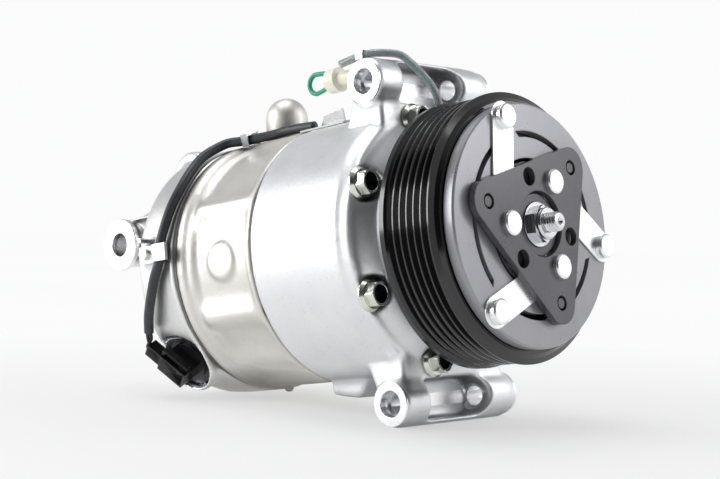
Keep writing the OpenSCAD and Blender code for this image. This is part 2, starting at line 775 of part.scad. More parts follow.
// a strip on the front housing, with an upright tab beside the cable
module wire_bracket() {
    color("silver") rotate([101, 0, 0]) translate([0, body_r, 0]) {
        rotate([-90, 0, 0]) linear_extrude(0.8) {
            polygon([[-57, -4], [-57, 0], [-51.4, 1.2], [-51.4, 6.4], [-30, 6.4], [-30, -4]]);
        }
        translate([0, 0, -6.4]) linear_extrude(0.8) {
            polygon([[-53, 0.2], [-50, 5], [-46, 5.6], [-38, 6.6], [-38, 0.2]]);
        }
    }
}
sleeve_r = 1.7;
sleeve_points = [[-17, -27.5, 77], [-9, -27.5, 77.8], [-1, -27.3, 78.15], [3.5, -22, 78.2], [7.6, -17, 76.9],
    [9.8, -13.4, 73.4], [13.8, -11, 67.8], [17.4, -8.8, 60.6], [18, -7, 53.6]];
module coil_lead_sleeve() {
    color("lightgray") run(sleeve_points, sleeve_r);
}
// strap bent over the sleeve on top of the lug
module sleeve_clip() {
    color("silver") translate([-6, -30, lug_z + lug_tube_r + 0.01]) difference() {
        cube([4, 5, 4.2]);
        translate([-eps, 0.6, -eps]) cube([4 + 2 * eps, 3.8, 3.6 + eps]);
    }
}
module coil_leads() {
    color("seagreen") run([[18, -6.2, 51.2], [18, -5.6, 49]], 0.9);
}
module lead_cap() {
    color("ivory") translate([0, -25, 71.4]) {
        xcyl(5.2, -25.5, -20);
        xcyl(3, -20.1, -8.2);
    }
}
loop_points = concat(
    [[-26.8, -25, 75.2]],
    [for (a = [75 : 35 : 285]) [-34 - 4.6 * cos(180 - a), -25, 72 + 4.2 * sin(a)]],
    [[-26.8, -25, 69.4]]
);
module loop_wire() {
    color("seagreen") run(loop_points, 1.1);
}
module relief_valve() {
    color("darkgoldenrod") translate([head_rear_x, 0, -20]) {
        xcyl(4, -2, 9);
        translate([-6, 0, 0]) rotate([0, 90, 0]) cylinder(r = 6, h = 6, $fn = 6);
    }
}

front_housing();
cylinder_block();
rear_head();
block_oring();
head_gasket();
valve_plate();
discharge_reeds();
housing_bolts();
lug_sleeves();
field_coil();
coil_shell();
coil_snap_ring();
bearing_inner_race();
bearing_snap_ring();
shaft_seal();
seal_snap_ring();
front_shaft_bearing();
rear_shaft_bearing();
front_thrust_bearing();
rear_thrust_bearing();
pistons();
piston_shoes();
control_valve();
valve_snap_ring();
valve_spool();
valve_connector();
valve_cable();
cable_clamp();
clamp_screw();
locating_pin();
cable_clip();
wire_bracket();
coil_lead_sleeve();
sleeve_clip();
coil_leads();
lead_cap();
loop_wire();
relief_valve();
pulley();
bearing_outer_race();
bearing_seals();
bearing_balls();
bearing_cage();
shaft();
stop_ring();
lug_plate();
swash_plate();
hinge_pin();
gap_shim();
clutch_hub();
leaf_springs();
hub_plate();
inner_rivets();
shaft_nut();
nut_washer();
armature();
outer_rivets();
stop_pins();
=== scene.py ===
import json
import math

import bmesh
import bpy
import numpy as np
from mathutils import Matrix, Vector


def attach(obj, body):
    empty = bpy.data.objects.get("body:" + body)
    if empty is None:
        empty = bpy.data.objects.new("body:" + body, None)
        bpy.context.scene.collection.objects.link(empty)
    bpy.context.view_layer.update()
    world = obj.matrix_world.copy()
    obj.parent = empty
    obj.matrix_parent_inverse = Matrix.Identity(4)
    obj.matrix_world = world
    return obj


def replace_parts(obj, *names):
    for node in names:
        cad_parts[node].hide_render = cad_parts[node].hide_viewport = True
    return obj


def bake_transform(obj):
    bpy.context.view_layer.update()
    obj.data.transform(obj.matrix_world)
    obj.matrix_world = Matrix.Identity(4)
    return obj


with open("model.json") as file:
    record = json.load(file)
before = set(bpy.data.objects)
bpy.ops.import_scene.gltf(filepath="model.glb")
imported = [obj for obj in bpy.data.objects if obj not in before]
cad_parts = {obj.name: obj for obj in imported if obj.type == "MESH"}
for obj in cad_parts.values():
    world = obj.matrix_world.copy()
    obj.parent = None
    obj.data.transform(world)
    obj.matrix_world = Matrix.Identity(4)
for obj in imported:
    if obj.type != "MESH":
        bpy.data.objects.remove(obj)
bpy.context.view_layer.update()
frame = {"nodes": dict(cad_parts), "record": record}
nodes = frame["nodes"]
scene = bpy.context.scene
SLOT_OF = {s["node"]: s["material_slot"] for s in frame["record"]["subparts"]}


# ---------------------------------------------------------------- places on the object, in mm

def polar(r, deg):
    return r * math.cos(math.radians(deg)), r * math.sin(math.radians(deg))


# height of the front lug bores above and below the shaft, and their near and far faces
LUG_Z = 66.14
LUG_NEAR, LUG_FAR = -32.9, 38.0
# axis of the rear lug's bore as (x, z), and its two faces
REAR_X, REAR_Z = -145.9, 15.7
REAR_NEAR, REAR_FAR = -50.0, -18.0
# radii of the sleeve seats and of the bolt holes in the lugs, and of the machined ring at a front lug
SEAT_R, HOLE_R, LUG_FACE_R = 5.3, 4.3, 9.2
# through bolts round the shaft as (y, z)
BOLT_COUNT, BOLT_CIRCLE_R = 7, 51.5
BOLTS = [polar(BOLT_CIRCLE_R, k * 360 / BOLT_COUNT) for k in range(BOLT_COUNT)]
# outside radius of the body, joint of the front housing and the block, and rear end of the block
BODY_R, SEAM, BLOCK_REAR = 57.0, -50.5, -99.0
# frame of the control valve, with Y along its axis out of the head
VALVE = Matrix.Translation(Vector((-0.1146, -0.0384, -0.0404))) @ Matrix.Rotation(math.radians(207), 4, "X")


# ---------------------------------------------------------------- materials

def shader(name):
    mat = bpy.data.materials.new(name)
    mat.use_nodes = True
    tree = mat.node_tree
    tree.nodes.clear()
    out = tree.nodes.new("ShaderNodeOutputMaterial")
    bsdf = tree.nodes.new("ShaderNodeBsdfPrincipled")
    tree.links.new(bsdf.outputs[0], out.inputs[0])
    return mat, tree, bsdf


def noise(tree, coords, scale, detail=3.0, rough=0.55):
    n = tree.nodes.new("ShaderNodeTexNoise")
    n.inputs["Scale"].default_value = scale
    n.inputs["Detail"].default_value = detail
    n.inputs["Roughness"].default_value = rough
    tree.links.new(coords, n.inputs["Vector"])
    return n.outputs["Fac"]


def ranged(tree, value, low, high, start=0.3, stop=0.7):
    m = tree.nodes.new("ShaderNodeMapRange")
    for key, v in (("From Min", start), ("From Max", stop), ("To Min", low), ("To Max", high)):
        m.inputs[key].default_value = v
    tree.links.new(value, m.inputs["Value"])
    return m.outputs[0]


def mixed(tree, fac, a, b):
    m = tree.nodes.new("ShaderNodeMix")
    m.data_type = "RGBA"
    tree.links.new(fac, m.inputs[0])
    for socket, v in ((m.inputs[6], a), (m.inputs[7], b)):
        if isinstance(v, tuple):
            socket.default_value = (*v[:3], 1)
        else:
            tree.links.new(v, socket)
    return m.outputs[2]


def bumped(tree, normal, height, distance):
    n = tree.nodes.new("ShaderNodeBump")
    n.inputs["Strength"].default_value = 1.0
    n.inputs["Distance"].default_value = distance
    tree.links.new(height, n.inputs["Height"])
    if normal is not None:
        tree.links.new(normal, n.inputs["Normal"])
    return n.outputs[0]


def finish_material(name, base, other, rough, metal, blotch=60, grain=900, bump=0.00003, edge=0.0003,
                    coat=0.0, coarse=0.0, coarse_scale=160, stretch=None, specks=None, hollows=None):
    """A worn or cast finish. base and other are the two ends of its colour, and rough is a pair too.

    blotch, grain and coarse_scale are noise scales; bump, coarse and edge are heights and a bevel in metres.
    stretch scales the grain along each axis, specks is (scale, colour, amount), and hollows is
    (colour, distance, start, stop) of the painted shade: a darker tone laid by ambient occlusion where the
    surface turns inwards.
    """
    mat, tree, bsdf = shader(name)
    coords = tree.nodes.new("ShaderNodeTexCoord").outputs["Object"]
    fine_coords = coords
    if stretch:
        m = tree.nodes.new("ShaderNodeMapping")
        m.inputs["Scale"].default_value = stretch
        tree.links.new(coords, m.inputs["Vector"])
        fine_coords = m.outputs[0]
    large = noise(tree, coords, blotch, 4)
    fine = noise(tree, fine_coords, grain, 3)
    colour = mixed(tree, ranged(tree, large, 0, 1), base, other)
    if specks:
        spot = noise(tree, coords, specks[0], 1)
        colour = mixed(tree, ranged(tree, spot, 0, specks[2], 0.66, 0.74), colour, specks[1])
    # painted shade: ambient occlusion mixes the colour towards the hollows colour where the surface turns
    # inwards
    if hollows:
        ao = tree.nodes.new("ShaderNodeAmbientOcclusion")
        ao.samples = 6
        ao.inputs["Distance"].default_value = hollows[1]
        colour = mixed(tree, ranged(tree, ao.outputs["AO"], 0, 1, hollows[2], hollows[3]), hollows[0], colour)
    tree.links.new(colour, bsdf.inputs["Base Color"])
    both = tree.nodes.new("ShaderNodeMath")
    both.operation = "ADD"
    tree.links.new(large, both.inputs[0])
    tree.links.new(fine, both.inputs[1])
    tree.links.new(ranged(tree, both.outputs[0], rough[0], rough[1], 0.7, 1.3), bsdf.inputs["Roughness"])
    bsdf.inputs["Metallic"].default_value = metal
    bsdf.inputs["Coat Weight"].default_value = coat
    bsdf.inputs["Coat Roughness"].default_value = 0.12
    normal = None
    if edge:
        b = tree.nodes.new("ShaderNodeBevel")
        b.samples = 4
        b.inputs["Radius"].default_value = edge
        normal = b.outputs[0]
    if bump:
        normal = bumped(tree, normal, fine, bump)
    if coarse:
        normal = bumped(tree, normal, noise(tree, coords, coarse_scale, 2), coarse)
    if normal is not None:
        tree.links.new(normal, bsdf.inputs["Normal"])
    return mat


def stripe_material(name, base, stripe, width):
    """An insulated wire with a stripe along it. The attribute turn holds the angle round the wire."""
    mat, tree, bsdf = shader(name)
    a = tree.nodes.new("ShaderNodeAttribute")
    a.attribute_name = "turn"
    coords = tree.nodes.new("ShaderNodeTexCoord").outputs["Object"]
    wobble = noise(tree, coords, 500)
    s = tree.nodes.new("ShaderNodeMath")
    s.operation = "MULTIPLY_ADD"
    tree.links.new(wobble, s.inputs[0])
    s.inputs[1].default_value = 0.06
    tree.links.new(a.outputs["Fac"], s.inputs[2])
    on_stripe = ranged(tree, s.outputs[0], 1, 0, width, width + 0.03)
    tree.links.new(mixed(tree, on_stripe, base, stripe), bsdf.inputs["Base Color"])
    tree.links.new(ranged(tree, wobble, 0.28, 0.4), bsdf.inputs["Roughness"])
    return mat


M = {}


def add(name, base, other, **options):
    M[name] = finish_material(name, base, other, **options)


# each casting's hollows colour is painted shade, laid darker towards its hollows
add("cast_front", (0.87, 0.876, 0.89), (0.79, 0.80, 0.82), rough=(0.34, 0.50), metal=0.96, blotch=45,
    grain=1500, bump=0.000035, edge=0.0005, coarse=0.00009, coarse_scale=240,
    specks=(700, (0.55, 0.56, 0.6), 0.3), hollows=((0.2, 0.205, 0.22), 0.026, 0.05, 0.62))
add("cast_block", (0.80, 0.782, 0.742), (0.70, 0.684, 0.645), rough=(0.40, 0.52), metal=0.92, blotch=40,
    grain=1900, bump=0.00008, edge=0.0005, coarse=0.00012, coarse_scale=260,
    specks=(800, (0.5, 0.5, 0.49), 0.25), hollows=((0.27, 0.258, 0.232), 0.016, 0.40, 1.0))
add("cast_head", (0.87, 0.87, 0.86), (0.78, 0.785, 0.785), rough=(0.30, 0.44), metal=0.96, blotch=40,
    grain=1700, bump=0.00005, edge=0.0005, coarse=0.00012, coarse_scale=220,
    specks=(700, (0.5, 0.5, 0.5), 0.25), hollows=((0.36, 0.355, 0.345), 0.014, 0.2, 0.9))
add("machined", (0.93, 0.93, 0.94), (0.87, 0.87, 0.89), rough=(0.20, 0.32), metal=1.0, blotch=90,
    grain=1400, bump=0.000008, edge=0.0002, stretch=(1, 0.2, 3))
add("gasket", (0.13, 0.13, 0.12), (0.20, 0.20, 0.185), rough=(0.5, 0.7), metal=0.3, blotch=80, grain=900,
    bump=0.00002)
add("seal_rubber", (0.02, 0.02, 0.02), (0.035, 0.035, 0.034), rough=(0.5, 0.65), metal=0, blotch=90,
    grain=1200, bump=0.00002)
add("spring_steel", (0.20, 0.21, 0.23), (0.28, 0.29, 0.31), rough=(0.3, 0.45), metal=0.9, blotch=90,
    grain=900, bump=0.00001)
add("plain_steel", (0.66, 0.67, 0.70), (0.58, 0.59, 0.62), rough=(0.22, 0.34), metal=1.0, blotch=70,
    grain=1200, bump=0.00001, stretch=(1, 4, 4))
add("bearing_steel", (0.78, 0.79, 0.81), (0.70, 0.71, 0.74), rough=(0.10, 0.2), metal=1.0, blotch=60,
    grain=900, bump=0.000003)
add("bolt_zinc", (0.80, 0.82, 0.76), (0.66, 0.685, 0.60), rough=(0.14, 0.26), metal=1.0, blotch=160,
    grain=900, bump=0.00001, edge=0.0003)
# painted shade: the inside of each bolt's cup is coloured near black to stand for the shade in it
add("bolt_cup_shade", (0.012, 0.012, 0.012), (0.03, 0.03, 0.028), rough=(0.25, 0.4), metal=0.6, blotch=160,
    grain=900, bump=0.00001, edge=0.0)
add("bright_zinc", (0.97, 0.97, 0.975), (0.90, 0.905, 0.92), rough=(0.24, 0.36), metal=1.0, blotch=120,
    grain=1600, bump=0.000008, edge=0.0004)
add("nut_zinc", (0.78, 0.785, 0.80), (0.64, 0.65, 0.67), rough=(0.10, 0.2), metal=1.0, blotch=150,
    grain=1600, bump=0.000008, edge=0.0003)
add("strap_zinc", (0.92, 0.92, 0.93), (0.82, 0.82, 0.835), rough=(0.26, 0.4), metal=1.0, blotch=90,
    grain=1200, bump=0.00001, edge=0.0002, stretch=(0.2, 1, 1))
add("dull_zinc", (0.62, 0.62, 0.62), (0.50, 0.50, 0.505), rough=(0.24, 0.36), metal=1.0, blotch=90,
    grain=1200, bump=0.00001, edge=0.0002, stretch=(0.2, 1, 1))
add("coil_copper", (0.28, 0.11, 0.05), (0.16, 0.06, 0.03), rough=(0.3, 0.45), metal=0.4, blotch=90,
    grain=1300, bump=0.00006, stretch=(1, 0.2, 0.2))
add("coil_steel", (0.22, 0.23, 0.25), (0.30, 0.31, 0.33), rough=(0.35, 0.5), metal=0.8, blotch=60,
    grain=900, bump=0.00002)
add("pulley_black", (0.003, 0.003, 0.0033), (0.006, 0.006, 0.0064), rough=(0.10, 0.17), metal=0.0,
    blotch=50, grain=700, bump=0.000008, edge=0.0003, coat=0.4, coarse=0.00001, coarse_scale=320)
add("hub_grey", (0.075, 0.073, 0.085), (0.095, 0.092, 0.105), rough=(0.26, 0.38), metal=0.25, blotch=55,
    grain=1300, bump=0.00002, edge=0.0006, coat=0.3, coarse=0.00002, coarse_scale=420,
    specks=(900, (0.36, 0.36, 0.38), 0.10))
add("clutch_grey", (0.30, 0.30, 0.325), (0.345, 0.345, 0.37), rough=(0.26, 0.38), metal=0.45, blotch=55,
    grain=1300, bump=0.000015, edge=0.0006, coat=0.3, coarse=0.00001, coarse_scale=300,
    specks=(700, (0.40, 0.40, 0.42), 0.05))
add("piston_alloy", (0.62, 0.63, 0.64), (0.5, 0.51, 0.53), rough=(0.3, 0.45), metal=1.0, blotch=70,
    grain=1200, bump=0.00001)
add("shoe_steel", (0.42, 0.42, 0.44), (0.34, 0.34, 0.36), rough=(0.2, 0.35), metal=1.0, blotch=70,
    grain=1200, bump=0.00001)
add("black_plastic", (0.010, 0.010, 0.011), (0.016, 0.016, 0.018), rough=(0.26, 0.40), metal=0, blotch=120,
    grain=1700, bump=0.000025, edge=0.0004, coarse=0.00002, coarse_scale=500)
add("cable_jacket", (0.032, 0.034, 0.040), (0.048, 0.051, 0.058), rough=(0.36, 0.5), metal=0, blotch=160,
    grain=1500, bump=0.00003, edge=0.0)
add("ivory_plastic", (0.90, 0.88, 0.755), (0.84, 0.815, 0.67), rough=(0.35, 0.5), metal=0, blotch=140,
    grain=1200, bump=0.00003, edge=0.0003)
add("relief_brass", (0.70, 0.55, 0.28), (0.60, 0.46, 0.22), rough=(0.2, 0.35), metal=1.0, blotch=120,
    grain=1200, bump=0.00001)
add("black_wire", (0.012, 0.012, 0.013), (0.022, 0.022, 0.024), rough=(0.3, 0.42), metal=0, blotch=200,
    grain=1800, bump=0.00002, edge=0.0)
M["green_wire"] = stripe_material("green_wire", (0.005, 0.33, 0.20), (0.70, 0.74, 0.22), 0.16)


def clear_material():
    mat, tree, bsdf = shader("clear_sleeve")
    coords = tree.nodes.new("ShaderNodeTexCoord").outputs["Object"]
    haze = noise(tree, coords, 260, 4)
    tint = mixed(tree, ranged(tree, haze, 0, 1), (0.74, 0.77, 0.80), (0.62, 0.655, 0.69))
    tree.links.new(tint, bsdf.inputs["Base Color"])
    tree.links.new(ranged(tree, haze, 0.10, 0.28), bsdf.inputs["Roughness"])
    bsdf.inputs["Transmission Weight"].default_value = 0.6
    bsdf.inputs["IOR"].default_value = 1.34
    bsdf.inputs["Alpha"].default_value = 0.62
    return mat


M["clear_sleeve"] = clear_material()


# ---------------------------------------------------------------- mesh tools

def piece(name, verts, faces, body, slot_name, *mats):
    mesh = bpy.data.meshes.new(name)
    mesh.from_pydata([tuple(v) for v in np.asarray(verts, float)], [], [tuple(map(int, f)) for f in faces])
    mesh.validate()
    mesh.update()
    mesh.polygons.foreach_set("use_smooth", [True] * len(mesh.polygons))
    obj = bpy.data.objects.new(name, mesh)
    scene.collection.objects.link(obj)
    for m in mats:
        mesh.materials.append(m)
    if body:
        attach(obj, body)
    return obj


def flat_edges(obj, angle):
    obj.data.set_sharp_from_angle(angle=math.radians(angle))


def tube_faces(rings, seg):
    """Quads between successive rings of seg points each."""
    return [(i * seg + k, i * seg + (k + 1) % seg, (i + 1) * seg + (k + 1) % seg, (i + 1) * seg + k)
            for i in range(rings - 1) for k in range(seg)]


def lathe(profile, seg=96):
    """A surface of revolution about X from (x, radius) pairs in mm. A closed one repeats its first pair."""
    a = np.linspace(0, 2 * np.pi, seg, endpoint=False)
    v = [(x, r * math.cos(t), r * math.sin(t)) for x, r in profile for t in a]
    return np.array(v) / 1000, tube_faces(len(profile), seg)


def spline(points, step=1.0):
    """Points in mm to a smooth centreline, sampled about every step mm."""
    p = np.array(points, float)
    p = np.vstack([2 * p[0] - p[1], p, 2 * p[-1] - p[-2]])
    out = []
    for i in range(1, len(p) - 2):
        count = max(2, int(np.linalg.norm(p[i + 1] - p[i]) / step))
        for t in np.linspace(0, 1, count, endpoint=False):
            out.append(0.5 * (2 * p[i] + (p[i + 1] - p[i - 1]) * t
                              + (2 * p[i - 1] - 5 * p[i] + 4 * p[i + 1] - p[i + 2]) * t * t
                              + (3 * p[i] - p[i - 1] - 3 * p[i + 1] + p[i + 2]) * t ** 3))
    out.append(p[-2])
    return np.array(out)


def frames_along(path):
    t = np.gradient(path, axis=0)
    t /= np.linalg.norm(t, axis=1)[:, None]
    n = np.zeros_like(t)
    ref = np.array([0.0, 0.0, 1.0]) if abs(t[0][2]) < 0.9 else np.array([1.0, 0.0, 0.0])
    n[0] = ref - t[0] * (ref @ t[0])
    n[0] /= np.linalg.norm(n[0])
    for i in range(1, len(t)):
        n[i] = n[i - 1] - t[i] * (n[i - 1] @ t[i])
        n[i] /= np.linalg.norm(n[i])
    return t, n, np.cross(t, n)


def sweep(points, radius, seg=20, step=1.0, ends=0.35, hollow=0.0):
    """A round tube through points in mm. ends is the rounding of its two ends; hollow is an inner radius."""
    path = spline(points, step)
    t, n, b = frames_along(path)
    a = np.linspace(0, 2 * np.pi, seg, endpoint=False)
    last = len(path) - 1
    skin = path.copy()
    skin[0] += t[0] * ends
    skin[last] -= t[last] * ends
    rings = [(skin[i], radius, i) for i in range(last + 1)]
    if hollow:
        rings.append((path[last], hollow, last))
        rings += [(path[i], hollow, i) for i in reversed(range(last + 1))]
        rings.append(rings[0])
    else:
        rings.insert(0, (path[0], radius - ends, 0))
        rings.append((path[last], radius - ends, last))
    v, turn = [], []
    for c, r, i in rings:
        for x in a:
            v.append(c + r * (math.cos(x) * n[i] + math.sin(x) * b[i]))
            turn.append(abs((x / np.pi + 1) % 2 - 1))
    f = tube_faces(len(rings), seg)
    if not hollow:
        f.append(tuple(reversed(range(seg))))
        f.append(tuple((len(rings) - 1) * seg + k for k in range(seg)))
    return np.array(v) / 1000, f, np.array(turn)


def cad_arrays(node):
    mesh = nodes[node].data
    v = np.zeros(len(mesh.vertices) * 3)
    mesh.vertices.foreach_get("co", v)
    to_world = np.array(nodes[node].matrix_world)
    mesh.calc_loop_triangles()
    f = np.zeros(len(mesh.loop_triangles) * 3, int)
    mesh.loop_triangles.foreach_get("vertices", f)
    return v.reshape(-1, 3) @ to_world[:3, :3].T + to_world[:3, 3], f.reshape(-1, 3)


def remeshed(parts, voxel):
    """Joins closed meshes into one skin of even quads. parts are (verts in m, faces)."""
    verts, faces, base = [], [], 0
    for v, f in parts:
        verts.append(np.asarray(v, float))
        faces += [tuple(int(i) + base for i in face) for face in f]
        base += len(v)
    mesh = bpy.data.meshes.new("tmp")
    mesh.from_pydata([tuple(x) for x in np.vstack(verts)], [], faces)
    obj = bpy.data.objects.new("tmp", mesh)
    scene.collection.objects.link(obj)
    weld = obj.modifiers.new("weld", "WELD")
    weld.merge_threshold = 0.000001
    rm = obj.modifiers.new("remesh", "REMESH")
    rm.mode = "VOXEL"
    rm.voxel_size = voxel
    dg = bpy.context.evaluated_depsgraph_get()
    out = bpy.data.meshes.new_from_object(obj.evaluated_get(dg))
    v = np.zeros(len(out.vertices) * 3)
    out.vertices.foreach_get("co", v)
    f = [tuple(p.vertices) for p in out.polygons]
    e = np.zeros(len(out.edges) * 2, int)
    out.edges.foreach_get("vertices", e)
    bpy.data.objects.remove(obj)
    bpy.data.meshes.remove(mesh)
    bpy.data.meshes.remove(out)
    return v.reshape(-1, 3), f, e.reshape(-1, 2)


def relaxed(v, e, rounds, weight=None, strength=0.6):
    """Moves each point towards the mean of its neighbours; weight holds points back where it is small."""
    count = np.bincount(e.ravel(), minlength=len(v))[:, None].astype(float)
    w = strength * (np.ones(len(v)) if weight is None else weight)[:, None]
    for _ in range(rounds):
        s = np.zeros_like(v)
        for k in range(3):
            s[:, k] = (np.bincount(e[:, 0], weights=v[e[:, 1], k], minlength=len(v))
                       + np.bincount(e[:, 1], weights=v[e[:, 0], k], minlength=len(v)))
        v = v + w * (s / count - v)
    return v


def face_centres(v, f):
    n = np.array([len(x) for x in f])
    c = np.zeros((len(f), 3))
    for size in np.unique(n):
        idx = np.where(n == size)[0]
        c[idx] = v[np.array([f[i] for i in idx])].mean(1)
    return c


def face_normals(v, f):
    q = np.array([[x[0], x[1], x[2], x[-1]] for x in f])
    n = np.cross(v[q[:, 2]] - v[q[:, 0]], v[q[:, 3]] - v[q[:, 1]])
    return n / (np.linalg.norm(n, axis=1)[:, None] + 1e-12)


def joined(parts):
    verts, faces, base = [], [], 0
    for v, f in parts:
        verts.append(v)
        faces += [tuple(i + base for i in face) for face in f]
        base += len(v)
    return np.vstack(verts), faces


def prism(outline, y0, y1):
    """A plate with an outline of (x, z) points in mm, from y0 to y1."""
    n = len(outline)
    v = [(x, y, z) for y in (y0, y1) for x, z in outline]
    f = [tuple(range(n)), tuple(reversed(range(n, 2 * n)))]
    f += [(k, k + n, (k + 1) % n + n, (k + 1) % n) for k in range(n)]
    return np.array(v) / 1000, f


# ---------------------------------------------------------------- castings

def casting(node, extras, voxel, rounds, weight_of, shape_of, index_of, mats, after=2):
    """Replaces a CAD casting by a soft skin of even quads that stays in the CAD casting's box.

    extras are closed solids that join the casting. rounds and after are the smoothing rounds before and after
    the shaping. weight_of, shape_of and index_of hold back, shape and paint the skin.
    """
    cad_v, cad_f = cad_arrays(node)
    v, f, e = remeshed([(cad_v, cad_f)] + extras, voxel)
    p = relaxed(v * 1000, e, 3, None, 0.5)
    p = relaxed(p, e, rounds, weight_of(p), 0.6)
    p = shape_of(p)
    p = relaxed(p, e, after, weight_of(p), 0.5)
    p = np.clip(p, cad_v.min(0) * 1000, cad_v.max(0) * 1000)
    obj = piece(node + "_cast", p / 1000, f, "case", SLOT_OF[node], *mats)
    index = index_of(face_centres(p, f), face_normals(p, f))
    obj.data.polygons.foreach_set("material_index", index.astype(np.int32))
    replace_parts(obj, node)


def about_shaft(p):
    """Radius and angle about the shaft."""
    return np.hypot(p[:, 1], p[:, 2]), np.arctan2(p[:, 2], p[:, 1])


def with_radius(p, r, new):
    p = p.copy()
    p[:, 1:] *= (new / np.maximum(r, 1e-6))[:, None]
    return p


def from_front_lug(p, side):
    """Distance from the axis of a front lug's bore; side is 1 for the upper lug and -1 for the lower one."""
    return np.hypot(p[:, 0], p[:, 2] - side * LUG_Z)


def from_rear_lug(p):
    return np.hypot(p[:, 0] - REAR_X, p[:, 2] - REAR_Z)


def from_bolt(p, y, z):
    return np.hypot(p[:, 1] - y, p[:, 2] - z)


def smooth_step(x, lo, hi):
    t = np.clip((x - lo) / (hi - lo), 0, 1)
    return t * t * (3 - 2 * t)


def ripple(a, b, seed):
    """Smooth noise of two coordinates, between -1 and 1."""
    rng = np.random.default_rng(seed)
    out = np.zeros_like(a)
    for k in range(6):
        s = 1.6 ** k
        ph = rng.uniform(0, 6.28, 3)
        out += np.sin(a * s + ph[0] + 1.7 * np.sin(b * s * 0.6 + ph[1])) * np.cos(b * s * 0.8 + ph[2]) / s
    return out / 2.2


def front_weight(p):
    w = np.ones(len(p))
    w[p[:, 0] < SEAM + 2.5] = 0.25
    for side in (1, -1):
        d = from_front_lug(p, side)
        w[d < 6.6] = 0.06
        w[(d < 11.5) & ((p[:, 1] < LUG_NEAR + 1.9) | (p[:, 1] > LUG_FAR - 2))] = 0.12
    for y, z in BOLTS:
        w[(from_bolt(p, y, z) < 8.6) & (p[:, 0] > 4.5)] = 0.3
    r, _ = about_shaft(p)
    w[(r < 21) & (p[:, 0] > 12)] = 0.1
    return w


def front_shape(p):
    r, a = about_shaft(p)
    x = p[:, 0]
    sides = (x > SEAM + 2) & (x < -1.5) & (np.abs(r - BODY_R) < 0.8) & (np.abs(p[:, 2]) < 50)
    new = r + np.where(sides, (BODY_R - r) * 0.8, 0)
    # the parting line round the front edge, and the soft bevel at the seam
    rim_x = -0.4
    on_rim = (r > 55) & (r < 57.6) & (np.abs(x - rim_x) < 1.1) & (np.abs(p[:, 2]) < 56)
    line = 0.28 * (0.4 + 0.6 * ripple(a * 7, x * 0.5, 4)) * (1.1 - np.abs(x - rim_x))
    new = new + np.where(on_rim, line, 0)
    bevel = (x < SEAM + 1.6) & (r > 55)
    new = new - np.where(bevel, 0.55 * np.clip(1 - (x - SEAM) / 1.6, 0, 1), 0)
    # low waviness of the die-cast wall
    wall = (r > 54) & (x > SEAM + 3) & (x < 6)
    new = new + np.where(wall, 0.10 * ripple(a * 3.0, x * 0.08, 2) - 0.06, 0)
    return with_radius(p, r, new)


def front_index(c, n):
    """1 where the front housing is machined: lug faces, lug bores and the nose."""
    i = np.zeros(len(c), int)
    for side in (1, -1):
        d = from_front_lug(c, side)
        i[(n[:, 1] < -0.9) & (c[:, 1] < LUG_NEAR + 0.6) & (d < LUG_FACE_R)] = 1
        i[(n[:, 1] > 0.9) & (c[:, 1] > LUG_FAR - 0.6) & (d < LUG_FACE_R)] = 1
        i[d < 5.6] = 1
    r, _ = about_shaft(c)
    i[(r < 18.2) & (c[:, 0] > 15)] = 1
    return i


def front_housing():
    # thin parting rib beside each near face
    rib = [(6.4, 58), (6.4, 75.4), (5.0, 75.4), (5.0, 58)]
    ribs = [prism([(x, side * z) for x, z in rib], -27.5, -26.2) for side in (1, -1)]
    casting("front_housing", ribs, 0.00075, 14, front_weight, front_shape, front_index,
            [M["cast_front"], M["machined"]])


def block_weight(p):
    w = np.ones(len(p))
    w[(p[:, 0] > SEAM - 1.5) | (p[:, 0] < BLOCK_REAR + 1.5)] = 0.3
    w[p[:, 1] > 30] = 0.25
    return w


def block_shape(p):
    """Soft ridges over the through bolts, hollows between them, and the rim of the blank round boss."""
    r, a = about_shaft(p)
    x, y, z = p.T
    step = 2 * np.pi / BOLT_COUNT
    off = np.abs((a / step + 0.5) % 1.0 - 0.5) * step * BODY_R
    ridge = np.exp(-(off / 6.0) ** 2)
    # the lower side also bulges over the cylinder between two bolts
    low = smooth_step(-z, 20, 30)
    swell = np.exp(-((off - step * BODY_R / 2) / 6.0) ** 2) * low
    hollow_r, band_r, ring_r = 53.1, 55.3, 56.6
    ridged = hollow_r + 3.9 * ridge + 2.7 * swell
    # a plain band behind the ridges and a raised ring in front of them
    rear = smooth_step(x, -91.5, -87.0)
    front = smooth_step(x, SEAM - 6.0, SEAM - 2.8)
    target = (band_r * (1 - rear) + ridged * rear) * (1 - front) + ring_r * front
    boss = np.hypot(x + 72.5, z)
    disc = 54.35 + 0.42 * np.exp(-((boss - 7.2) / 0.7) ** 2)
    raised = target + (np.maximum(disc, target) - target) * (1 - smooth_step(boss, 8.0, 9.2))
    target = np.where((y < 0) & (boss < 10), raised, target)
    # the ports' side and the bolt holes keep the shape they have
    skin = (r > 52.6) & (r < 57.4) & (x < SEAM - 1.2) & (x > BLOCK_REAR + 5.2) & ~((y > 4) & (z > 34))
    for bolt_y, bolt_z in BOLTS:
        skin &= from_bolt(p, bolt_y, bolt_z) > 4.1
    target = target + 0.16 * ripple(a * 5.0, x * 0.12, 7) - 0.05
    return with_radius(p, r, np.where(skin, target, r))


def block_index(c, n):
    """1 where the block is machined: the face of the discharge port."""
    i = np.zeros(len(c), int)
    i[(n[:, 1] > 0.9) & (c[:, 1] > 40)] = 1
    return i


def cylinder_block():
    casting("cylinder_block", [], 0.0008, 11, block_weight, block_shape, block_index,
            [M["cast_block"], M["machined"]], after=10)


def in_valve(p):
    """Points in mm seen from the control valve's own frame."""
    m = np.array(VALVE)
    return (p - m[:3, 3] * 1000) @ m[:3, :3]


